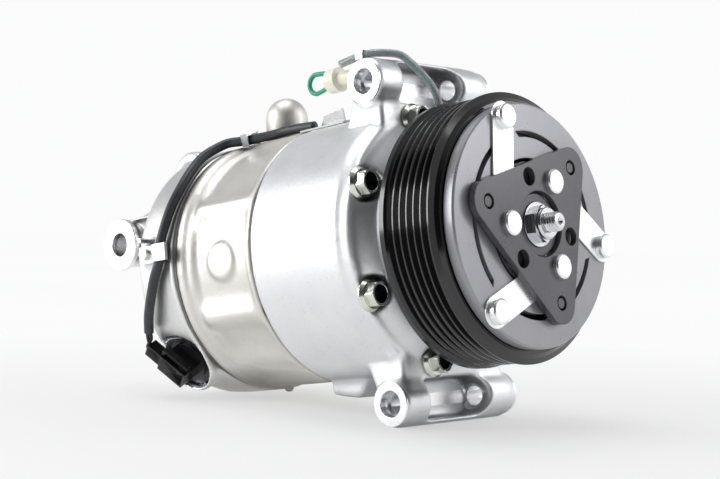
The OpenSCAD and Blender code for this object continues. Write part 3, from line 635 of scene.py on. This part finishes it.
def head_weight(p):
    w = np.ones(len(p))
    w[p[:, 0] > -102.2] = 0.3
    d = from_rear_lug(p)
    w[d < 6.4] = 0.06
    w[(d < 13) & (p[:, 1] < REAR_NEAR + 3)] = 0.2
    q = in_valve(p)
    w[(np.hypot(q[:, 0], q[:, 2]) < 13.6) & (q[:, 1] > -9)] = 0.15
    w[p[:, 1] > 40] = 0.3
    return w


def head_shape(p):
    r, a = about_shaft(p)
    skin = (r > 50) & (r < 58) & (p[:, 0] < -103)
    return with_radius(p, r, r + np.where(skin, 0.14 * ripple(a * 4.0, p[:, 0] * 0.1, 9) - 0.1, 0))


def head_index(c, n):
    """1 where the head is machined: the rear lug, the valve's pocket and the face of the suction port."""
    i = np.zeros(len(c), int)
    d = from_rear_lug(c)
    i[(n[:, 1] < -0.9) & (c[:, 1] < REAR_NEAR + 0.5) & (d < 12.2)] = 1
    i[d < 5.7] = 1
    q = in_valve(c)
    rq = np.hypot(q[:, 0], q[:, 2])
    i[(rq < 15.2) & (q[:, 1] > 2.9)] = 1
    i[(rq < 13.4) & (q[:, 1] > -7)] = 1
    i[(n[:, 1] > 0.9) & (c[:, 1] > 40)] = 1
    return i


def rear_head():
    # flared neck between the rear lug and the head, its lower web and its thin parting ridge
    neck = prism([(-141, 26.6), (-126, 34), (-112, 38), (-112, 24), (-141, 20)], -42, -26)
    web = prism([(-143, 6.5), (-126, -9), (-118, -22), (-112, -22), (-112, 10), (-135, 14)], -44, -30)
    ridge = prism([(-146, 27.3), (-125, 27.6), (-112, 27.6), (-112, 26.7), (-146, 26.5)], -46, -20)
    casting("rear_head", [neck, web, ridge], 0.0008, 22, head_weight, head_shape, head_index,
            [M["cast_head"], M["machined"]])


# ---------------------------------------------------------------- machined lug faces

def faced_ring(name, x, z, y, side, r_in, r_out):
    """A crisp machined ring at the end of a lug; side is -1 for a near face and +1 for a far face."""
    bevel, depth = 0.25, 2.2
    profile = [(-depth, r_in), (-bevel, r_in), (0, r_in + bevel), (0, r_out - bevel), (-bevel, r_out),
               (-depth, r_out), (-depth, r_in)]
    v, f = lathe(profile)
    v = np.stack([v[:, 1], v[:, 0] * side, v[:, 2]], 1) + np.array([x, y, z]) / 1000
    flat_edges(piece(name, v, f, "case", "cast_front", M["machined"]), 30)


def lug_faces():
    for end, z in (("upper", LUG_Z), ("lower", -LUG_Z)):
        faced_ring("face_near_" + end, 0, z, LUG_NEAR, -1, SEAT_R, LUG_FACE_R)
        faced_ring("face_far_" + end, 0, z, LUG_FAR, 1, HOLE_R, LUG_FACE_R)
    faced_ring("face_near_rear", REAR_X, REAR_Z, REAR_NEAR, -1, SEAT_R, 12.0)
    faced_ring("face_far_rear", REAR_X, REAR_Z, REAR_FAR, 1, SEAT_R, 10.6)


# ---------------------------------------------------------------- shown CAD nodes

OTHER_MATERIAL = {"shaft_nut": "nut_zinc", "nut_washer": "nut_zinc", "hub_plate": "hub_grey",
                  "stop_pins": "hub_grey", "clutch_hub": "hub_grey", "cable_clip": "dull_zinc",
                  "wire_bracket": "dull_zinc", "sleeve_clip": "dull_zinc"}


def paint_nodes():
    for name, obj in nodes.items():
        obj.data.materials.clear()
        obj.data.materials.append(M.get(OTHER_MATERIAL.get(name, SLOT_OF[name]), M["plain_steel"]))


# ---------------------------------------------------------------- through bolts

def flange_bolt(y, z, turn):
    """A through bolt with a hexagon flange head and a deep round cup in its top."""
    seg, half = 96, 4.75
    # (x, radius, kind): 1 and 2 are the hexagon and its chamfered top, 3 is the inside of the cup, painted
    # near black as shade
    rings = [(-111.0, 0.3, 0), (-111.0, 2.95, 0), (6.0, 2.95, 0), (6.0, 6.6, 0), (6.25, 6.8, 0),
             (7.0, 6.8, 0), (7.3, 6.6, 0), (8.5, 5.75, 0), (8.6, half, 1), (12.1, half, 1), (12.95, half, 2),
             (13.0, 4.25, 0), (12.8, 3.85, 0), (12.6, 3.7, 3), (10.2, 3.65, 3), (10.2, 0.2, 3)]
    corner = {1: 5.42, 2: 4.95}
    v = []
    for x, r, kind in rings:
        for k in range(seg):
            t = 2 * math.pi * k / seg
            if kind in corner:
                hexagon = half / math.cos((t + math.pi / 6) % (math.pi / 3) - math.pi / 6)
                r = min(hexagon, corner[kind])
            v.append((x, y + r * math.cos(t + turn), z + r * math.sin(t + turn)))
    mats = [1 if kind == 3 else 0 for _, _, kind in rings[:-1] for _ in range(seg)]
    return np.array(v) / 1000, tube_faces(len(rings), seg), mats


def through_bolts():
    made = [flange_bolt(y, z, 0.35 + 0.83 * k) for k, (y, z) in enumerate(BOLTS)]
    v, f = joined([bolt[:2] for bolt in made])
    obj = piece("flange_bolts", v, f, "case", "bolt_zinc", M["bolt_zinc"], M["bolt_cup_shade"])
    obj.data.polygons.foreach_set("material_index", [i for bolt in made for i in bolt[2]])
    flat_edges(obj, 32)
    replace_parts(obj, "housing_bolts")


# ---------------------------------------------------------------- wiring

# centrelines; the cable first climbs round the body at 59.8 mm from the shaft, as (x, angle)
CABLE = [(-122.6, -55, -26.8), (-117.4, -58.3, -17.8)]
CABLE += [(x, *polar(59.8, deg)) for x, deg in ((-110.7, 184), (-106.4, 177), (-105.6, 168.5), (-104.2, 161),
                                                (-103, 151.6), (-101.9, 142), (-102.7, 131.7), (-105, 120))]
CABLE += [(-102, -19.5, 57.2), (-96.5, -15.6, 57.8), (-93.2, -14.2, 57.65), (-88, -13.3, 57.85),
          (-79, -9.6, 58.5), (-73, -8, 59.2), (-64, -7.5, 59), (-54.5, -7.5, 58.4)]
SLEEVE = [(-17, -27.5, 77), (-9, -27.5, 77.8), (-1, -27.3, 78.15), (3.5, -22, 78.2), (7.6, -17, 76.9),
          (9.8, -13.4, 73.4), (13.8, -11, 67.8), (17.4, -8.8, 60.6), (18, -7, 53.6)]
LOOP = [(-25.2, -25, 75.0), (-26.6, -25, 75.3)]
LOOP += [(-34 + 4.6 * math.cos(math.radians(a)), -25, 72 + 4.2 * math.sin(math.radians(a)))
         for a in range(75, 286, 35)]
LOOP += [(-26.6, -25, 69.4), (-25.2, -25, 69.6)]


def wire(name, points, radius, seg, step, slot_name, mat):
    v, f, turn = sweep(points, radius, seg, step, 0.2)
    obj = piece(name, v, f, "case", slot_name, mat)
    att = obj.data.attributes.new("turn", "FLOAT", "POINT")
    att.data.foreach_set("value", turn.astype(np.float32))
    return obj


def valve_cable():
    v, f, _ = sweep(CABLE, 2.2, 28, 0.8, 0.5)
    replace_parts(piece("cable_jacket", v, f, "case", "cable_jacket", M["cable_jacket"]), "valve_cable")


def coil_sleeve():
    """The clear sleeve with its two leads, which run on past its lower end."""
    v, f, _ = sweep(SLEEVE, 1.7, 24, 0.8, 0.2, hollow=1.35)
    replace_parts(piece("clear_sleeve", v, f, "case", "clear_sleeve", M["clear_sleeve"]), "coil_lead_sleeve")
    for name, offset, tail, slot_name, mat in (
            ("lead_black", (0.1, 0.55, -0.45), (18.0, -6.2, 51.0), "black_plastic", M["black_wire"]),
            ("lead_green", (-0.1, -0.5, 0.5), (18.2, -7.6, 51.0), "green_wire", M["green_wire"])):
        path = [tuple(np.add(p, offset)) for p in SLEEVE] + [tail]
        wire(name, path, 0.72, 14, 0.8, slot_name, mat)


def cap_loop():
    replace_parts(wire("loop_green", LOOP, 1.05, 18, 0.5, "green_wire", M["green_wire"]), "loop_wire")


def valve_wires():
    """Two thin wires from the end of the cable jacket into the connector."""
    for end, side in (("a", 1.0), ("b", -1.0)):
        path = [(-119.2, -57.6 + 0.3 * side, -20.5), (-122.2 + 0.5 * side, -55.4 + 0.4 * side, -26.2),
                (-123.6 + 0.5 * side, -54.0 + 0.5 * side, -29.4), on_plug((-12.6, -0.4 + 0.75 * side, 0.2)),
                on_plug((-10.4, -0.3 + 0.75 * side, 0))]
        wire("valve_wire_" + end, path, 0.78, 14, 0.5, "cable_jacket", M["black_wire"])


# ---------------------------------------------------------------- connector with rounded edges

# frame of the connector, with X from its cable end to its valve end
PLUG = (VALVE @ Matrix.Translation(Vector((-0.004, 0.009, -0.004)))
        @ Matrix.Rotation(math.radians(-49.5), 4, "Y"))
# (low corner, high corner, edge radius) in the connector's frame
PLUG_BLOCKS = [((-3, -3.95, -4.2), (11.2, 3.25, 4.2), 0.7),  # socket
               ((-11.6, -3, -3.1), (-2.6, 2.4, 3.1), 0.6),  # cable end
               ((-4, -1.6, -6.8), (10.5, 1.6, -5.3), 0.4),  # latch bar
               ((6, -1.6, -5.6), (9, 1.6, -3.6), 0.3),  # and its two legs
               ((-4, -1.6, -5.6), (-2.4, 1.6, -3.6), 0.3),
               ((-2.6, -4.0, -3.9), (-1.2, 3.3, -4.25), 0.1),  # collar
               ((-1.9, -4.05, -3.4), (10.4, -3.4, -2.7), 0.25),  # ribs on the socket
               ((-1.9, -4.05, 2.7), (10.4, -3.4, 3.4), 0.25),
               ((-10.9, -3.1, -2.6), (-2.9, -2.6, -2.0), 0.2),  # and on the cable end
               ((-10.9, -3.1, 2.0), (-2.9, -2.6, 2.6), 0.2)]


def on_plug(p):
    return tuple(np.array(PLUG @ (Vector(p) / 1000)) * 1000)


def rounded_box(lo, hi, radius):
    """A box in mm with rounded edges, as verts and faces."""
    bm = bmesh.new()
    bmesh.ops.create_cube(bm, size=1.0)
    for v in bm.verts:
        v.co = Vector([lo[k] if v.co[k] < 0 else hi[k] for k in range(3)])
    bmesh.ops.bevel(bm, geom=list(bm.edges), offset=radius, segments=3, profile=0.5, affect="EDGES",
                    clamp_overlap=True)
    bm.verts.index_update()
    v = np.array([tuple(x.co) for x in bm.verts])
    f = [tuple(x.index for x in face.verts) for face in bm.faces]
    bm.free()
    return v / 1000, f


def valve_connector():
    v, f = joined([rounded_box(*block) for block in PLUG_BLOCKS])
    m = np.array(PLUG)
    v = v @ m[:3, :3].T + m[:3, 3]
    flat_edges(piece("connector_body", v, f, "case", "black_plastic", M["black_plastic"]), 50)


# ---------------------------------------------------------------- clutch springs, stud thread

def leaf(k):
    """A flat spring with round ends, from an inner rivet at a on the hub plate to an outer rivet at b."""
    a = np.array(polar(19.8, 180 + 120 * k))
    b = np.array(polar(45.0, 109 + 120 * k))
    along = (b - a) / np.linalg.norm(b - a)
    across = np.array([-along[1], along[0]])
    half, steps = 6.5, 20
    back, face, edge = 55.25, 56.15, 0.22
    rim = [(end, sign * (along * math.cos(t) + across * math.sin(t)))
           for end, sign in ((b, 1), (a, -1)) for t in np.linspace(-math.pi / 2, math.pi / 2, steps)]
    rings = [(back, edge), (back + edge, 0.0), (face - edge, 0.0), (face, edge)]
    v = [(x, *(end + (half - inset) * out)) for x, inset in rings for end, out in rim]
    n = len(rim)
    f = tube_faces(len(rings), n)
    # caps as strips across, one after another along the spring's length
    for base, flip in ((0, True), (3 * n, False)):
        for j in range(steps - 1):
            far = base + n - 2 - j
            q = (base + j, base + j + 1, far, far + 1)
            f.append(q[::-1] if flip else q)
    return np.array(v) / 1000, f, a, b


def leaf_springs():
    for k in range(3):
        v, f, a, b = leaf(k)
        obj = piece("leaf_%d" % (k + 1), v, f, None, "bright_zinc", M["bright_zinc"])
        flat_edges(obj, 40)
        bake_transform(obj)
        if k == 0:
            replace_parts(obj, "leaf_springs")


def threaded_stud(x0, x1, r, pitch, depth, seg=64):
    """A right-hand thread on the stud as one helical skin, with a chamfered tip and a centre hole."""
    per_turn = 10
    angles = [2 * math.pi * k / seg for k in range(seg)]
    count = int((x1 - x0) / pitch * per_turn)
    v = []
    for i in range(count + 1):
        x = x0 + i * pitch / per_turn
        # the last turn runs out into the tip
        fade = max(min(1.0, (x1 - x) / (0.9 * pitch)), 0)
        for k, a in enumerate(angles):
            flank = abs(2 * ((x / pitch - k / seg) % 1.0) - 1)
            height = min(max((flank - 0.12) / 0.76, 0), 1)
            skin_r = r - depth * (1 - height) - 0.55 * (1 - fade)
            v.append((x, skin_r * math.cos(a), skin_r * math.sin(a)))
    for x, tip_r in ((x1, r - 0.9), (x1, 1.6), (x1 - 1.5, 0.12)):
        v += [(x, tip_r * math.cos(a), tip_r * math.sin(a)) for a in angles]
    f = tube_faces(count + 1, seg)
    tip = (count + 1) * seg
    for lo, hi in ((count * seg, tip), (tip, tip + seg), (tip + seg, tip + 2 * seg)):
        f += [(lo + k, lo + (k + 1) % seg, hi + (k + 1) % seg, hi + k) for k in range(seg)]
    f.append(tuple(tip + 2 * seg + k for k in range(seg)))
    return np.array(v) / 1000, f


def shaft():
    """The shaft with its ring groove, and the threaded stud that carries the nut."""
    shank = lathe([(-88, 0.2), (-88, 7.4), (-87.4, 8), (-46.2, 8), (-46.2, 7.2), (-44.8, 7.2), (-44.8, 8),
                   (34, 8), (34, 7), (55.8, 7), (56.0, 6.6), (56.0, 3.3)])
    v, f = joined([shank, threaded_stud(55.9, 68.25, 3.95, 1.25, 0.62)])
    obj = piece("shaft_threaded", v, f, "shaft", "plain_steel", M["nut_zinc"])
    flat_edges(obj, 35)
    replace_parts(obj, "shaft")


front_housing()
cylinder_block()
rear_head()
lug_faces()
paint_nodes()
through_bolts()
valve_cable()
coil_sleeve()
cap_loop()
valve_wires()
valve_connector()
leaf_springs()
shaft()


# ---------------------------------------------------------------- stage

def floor_z(x):
    """The object rests on its lower front lug and its rear end, so the floor slopes along the shaft."""
    return -0.0755 - 0.161 * x


def plane(name, corners, mat):
    mesh = bpy.data.meshes.new(name)
    mesh.from_pydata(corners, [], [(0, 1, 2, 3)])
    obj = bpy.data.objects.new(name, mesh)
    scene.collection.objects.link(obj)
    mesh.materials.append(mat)


def paper():
    """White paper that fades to plain light far from the object, so that no horizon shows."""
    mat, tree, bsdf = shader("paper")
    coords = tree.nodes.new("ShaderNodeTexCoord").outputs["Object"]
    cloud = noise(tree, coords, 3, 2)
    tree.links.new(mixed(tree, cloud, (0.84, 0.84, 0.845), (0.88, 0.88, 0.88)), bsdf.inputs["Base Color"])
    bsdf.inputs["Roughness"].default_value = 0.7
    bsdf.inputs["Specular IOR Level"].default_value = 0.2
    glow = tree.nodes.new("ShaderNodeEmission")
    tree.links.new(mixed(tree, cloud, (0.955, 0.955, 0.96), (0.98, 0.98, 0.98)), glow.inputs[0])
    far = tree.nodes.new("ShaderNodeVectorMath")
    far.operation = "LENGTH"
    tree.links.new(coords, far.inputs[0])
    mix = tree.nodes.new("ShaderNodeMixShader")
    tree.links.new(ranged(tree, far.outputs["Value"], 0.5, 1.0, 0.06, 0.42), mix.inputs[0])
    tree.links.new(bsdf.outputs[0], mix.inputs[1])
    tree.links.new(glow.outputs[0], mix.inputs[2])
    out = next(n for n in tree.nodes if n.type == "OUTPUT_MATERIAL")
    tree.links.new(mix.outputs[0], out.inputs[0])
    return mat


half = 3.0
ends = ((-half, -half), (half, -half), (half, half), (-half, half))
plane("floor", [(x, y, floor_z(x)) for x, y in ends], paper())

world = bpy.data.worlds.new("studio")
scene.world = world
world.use_nodes = True
wt = world.node_tree
wt.nodes.clear()
w_out = wt.nodes.new("ShaderNodeOutputWorld")
w_bg = wt.nodes.new("ShaderNodeBackground")
direction = wt.nodes.new("ShaderNodeTexCoord").outputs["Generated"]
sep = wt.nodes.new("ShaderNodeSeparateXYZ")
wt.links.new(direction, sep.inputs[0])
ramp = wt.nodes.new("ShaderNodeValToRGB")
wt.links.new(ranged(wt, sep.outputs["Z"], 0, 1, -1, 1), ramp.inputs[0])
stops = ramp.color_ramp.elements
stops[0].position, stops[0].color = 0.0, (0.42, 0.42, 0.42, 1)
stops[1].position, stops[1].color = 1.0, (0.28, 0.285, 0.30, 1)
for at, c in ((0.42, 0.95), (0.50, 1.02), (0.61, 1.02), (0.76, 0.50)):
    e = stops.new(at)
    e.color = (c, c, c * 1.01, 1)


def lobe(towards, inner, outer):
    """1 within inner degrees of a direction, 0 beyond outer degrees."""
    d = wt.nodes.new("ShaderNodeVectorMath")
    d.operation = "DOT_PRODUCT"
    wt.links.new(direction, d.inputs[0])
    d.inputs[1].default_value = Vector(towards).normalized()
    m = wt.nodes.new("ShaderNodeMapRange")
    m.interpolation_type = "SMOOTHSTEP"
    for key, v in (("From Min", math.cos(math.radians(outer))), ("From Max", math.cos(math.radians(inner))),
                   ("To Min", 0), ("To Max", 1)):
        m.inputs[key].default_value = v
    wt.links.new(d.outputs["Value"], m.inputs["Value"])
    return m.outputs[0]


sky = ramp.outputs[0]
sky = mixed(wt, lobe((0.74, -0.62, 0.16), 20, 60), sky, (0.018, 0.018, 0.022))
sky = mixed(wt, lobe((-0.66, -0.72, 0.26), 8, 30), sky, (2.2, 2.2, 2.22))
# the camera sees plain pale paper behind the object from every side
seen = wt.nodes.new("ShaderNodeLightPath").outputs["Is Camera Ray"]
sky = mixed(wt, seen, sky, (0.97, 0.97, 0.972))
wt.links.new(sky, w_bg.inputs[0])
w_bg.inputs[1].default_value = 1.0
wt.links.new(w_bg.outputs[0], w_out.inputs[0])


def area(name, at, target, size, power):
    """A square soft light of a size in metres and a power in watts."""
    data = bpy.data.lights.new(name, "AREA")
    data.shape = "RECTANGLE"
    data.size = data.size_y = size
    data.energy = power
    obj = bpy.data.objects.new(name, data)
    scene.collection.objects.link(obj)
    obj.location = at
    obj.rotation_euler = (Vector(target) - Vector(at)).to_track_quat("-Z", "Y").to_euler()


area("key", (-0.75, -0.95, 0.45), (-0.04, 0, 0), 0.6, 5.0)
area("top", (-0.1, -0.1, 1.1), (-0.03, 0, 0), 0.7, 5.0)
area("front", (1.0, 0.75, 0.5), (0.05, 0, 0), 0.7, 4.0)

def aim_camera():
    """A long lens in front of the clutch on the near side, a little below the shaft."""
    data = bpy.data.cameras.new("camera")
    data.lens = 77.81
    data.sensor_width = 36
    data.clip_start, data.clip_end = 0.01, 50
    obj = bpy.data.objects.new("camera", data)
    scene.collection.objects.link(obj)
    right = Vector((0.71980, 0.68926, -0.08252))
    up = Vector((0.12032, -0.00680, 0.99271))
    back = Vector((0.68368, -0.72448, -0.08782))
    turn = Matrix((right, up, back)).transposed().to_4x4()
    obj.matrix_world = Matrix.Translation((0.427514, -0.495518, -0.054298)) @ turn
    scene.camera = obj


aim_camera()
scene.view_settings.view_transform = "Standard"
